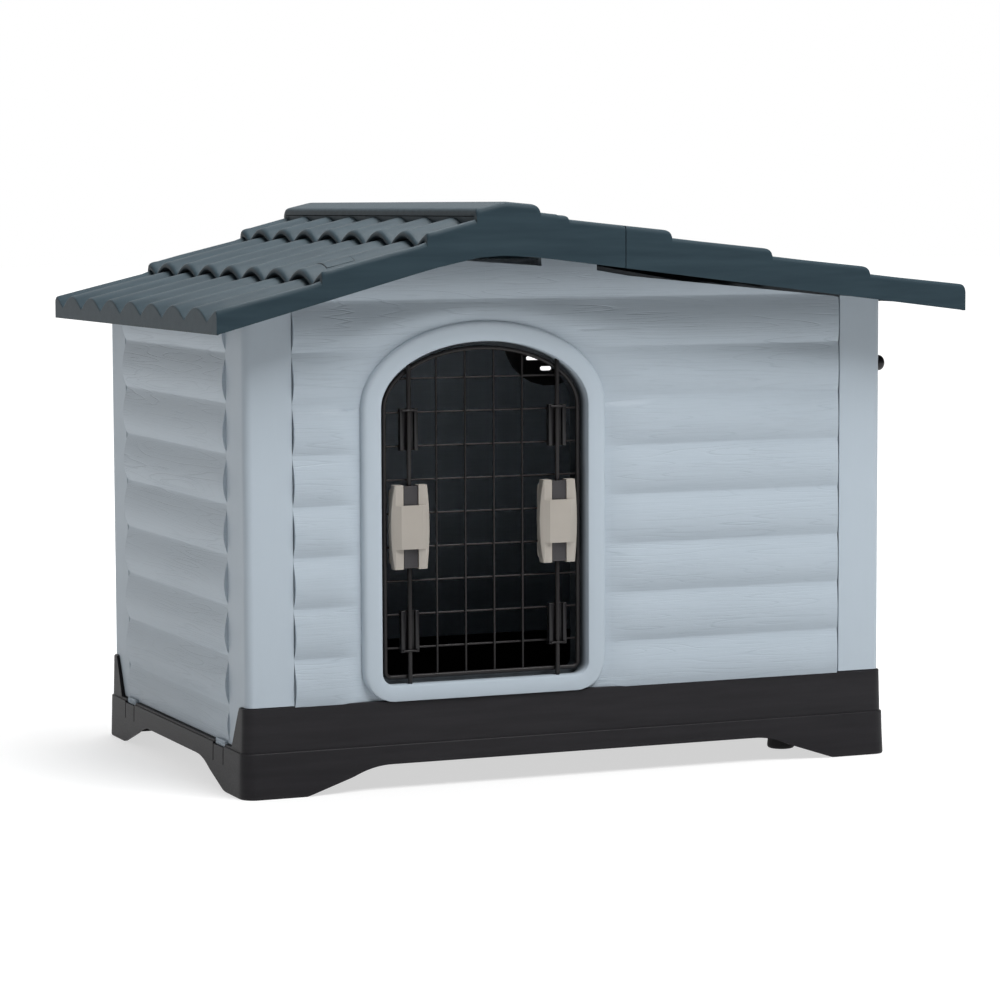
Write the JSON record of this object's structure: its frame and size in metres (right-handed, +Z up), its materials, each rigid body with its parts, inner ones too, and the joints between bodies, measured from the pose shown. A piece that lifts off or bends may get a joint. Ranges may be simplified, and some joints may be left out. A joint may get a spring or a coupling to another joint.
{
  "type": "dog house",
  "caption": "Moulded plastic clapboard dog house with a tiled gable roof, an arched wire door held by squeeze latches, a folding side wall and a round shuttered vent.",
  "frame": {"origin": "on the ground, under the middle of the roof's outline", "axes": "+X to the right seen from the door side, +Y from the door side to the back, +Z up"},
  "size_m": [0.894, 0.626, 0.6389],
  "materials": {
    "wall": "light blue-grey moulded plastic, satin",
    "roof": "slate grey moulded plastic, fine grain",
    "base": "charcoal moulded plastic, fine grain",
    "foot": "black moulded feet",
    "knob": "black moulded turn knobs",
    "vent": "charcoal vent with a sliding shutter",
    "wire": "black-brown coated steel wire",
    "guide": "black moulded rod guides",
    "latch": "warm beige moulded latch bodies",
    "tab": "dark grey squeeze tabs",
    "spring": "plain steel spring",
    "pin": "plain steel hinge pins"
  },
  "bodies": {
    "shell": {"base_tray": "base", "support_foot_front_left": "foot", "support_foot_rear_left": "foot", "support_foot_front_right": "foot", "support_foot_rear_right": "foot", "front_wall": "wall", "back_wall": "wall", "left_wall": "wall", "flap_hinge_pin_front": "pin", "flap_hinge_pin_rear": "pin", "roof_main": "roof", "roof_right": "roof", "roof_cover": "roof", "vent_grille": "vent", "vent_retainer": "vent"},
    "flap": {"side_flap": "wall"},
    "knob_front": {"closing_knob_front": "knob", "knob_cam_front": "knob"},
    "knob_rear": {"closing_knob_rear": "knob", "knob_cam_rear": "knob"},
    "shutter": {"vent_shutter": "vent"},
    "door": {"door_grid": "wire", "latch_housing_left": "latch", "latch_housing_right": "latch", "latch_back_left": "latch", "latch_back_right": "latch", "latch_spring_left": "spring", "latch_spring_right": "spring", "rod_guide_upper_left": "guide", "rod_guide_upper_right": "guide", "rod_guide_lower_left": "guide", "rod_guide_lower_right": "guide"},
    "rod_upper_left": {"squeeze_tab_upper_left": "tab", "latch_rod_upper_left": "wire"},
    "rod_lower_left": {"squeeze_tab_lower_left": "tab", "latch_rod_lower_left": "wire"},
    "rod_upper_right": {"squeeze_tab_upper_right": "tab", "latch_rod_upper_right": "wire"},
    "rod_lower_right": {"squeeze_tab_lower_right": "tab", "latch_rod_lower_right": "wire"}
  },
  "joints": [
    {"name": "door_swing", "type": "hinge", "parent": "shell", "child": "door", "pos_m": [-0.2078, -0.2454, 0.2864], "axis": [0, 0, -1], "range_deg": [0, 110]},
    {"name": "latch_left_squeeze", "type": "slide", "parent": "door", "child": "rod_upper_left", "axis": [0, 0, -1], "range_m": [0, 0.01], "stiffness_N_per_m": 400, "deforming": ["latch_spring_left"]},
    {"name": "latch_left_squeeze_lower", "type": "slide", "parent": "door", "child": "rod_lower_left", "axis": [0, 0, 1], "range_m": [0, 0.01], "stiffness_N_per_m": 400, "deforming": ["latch_spring_left"]},
    {"name": "latch_right_squeeze", "type": "slide", "parent": "door", "child": "rod_upper_right", "axis": [0, 0, -1], "range_m": [0, 0.01], "stiffness_N_per_m": 400, "deforming": ["latch_spring_right"]},
    {"name": "latch_right_squeeze_lower", "type": "slide", "parent": "door", "child": "rod_lower_right", "axis": [0, 0, 1], "range_m": [0, 0.01], "stiffness_N_per_m": 400, "deforming": ["latch_spring_right"]},
    {"name": "flap_fold", "type": "hinge", "parent": "shell", "child": "flap", "pos_m": [0.3705, 0, 0.055], "axis": [0, 1, 0], "range_deg": [0, 90]},
    {"name": "knob_front_turn", "type": "hinge", "parent": "flap", "child": "knob_front", "pos_m": [0.373, -0.234, 0.452], "axis": [1, 0, 0], "range_deg": [0, 90]},
    {"name": "knob_rear_turn", "type": "hinge", "parent": "flap", "child": "knob_rear", "pos_m": [0.373, 0.234, 0.452], "axis": [-1, 0, 0], "range_deg": [0, 90]},
    {"name": "shutter_slide", "type": "slide", "parent": "shell", "child": "shutter", "axis": [0, 0, 1], "range_m": [0, 0.00675]}
  ],
  "couplings": [
    {"joint": "latch_left_squeeze_lower", "follows": "latch_left_squeeze", "ratio": 1},
    {"joint": "latch_right_squeeze_lower", "follows": "latch_right_squeeze", "ratio": 1}
  ]
}
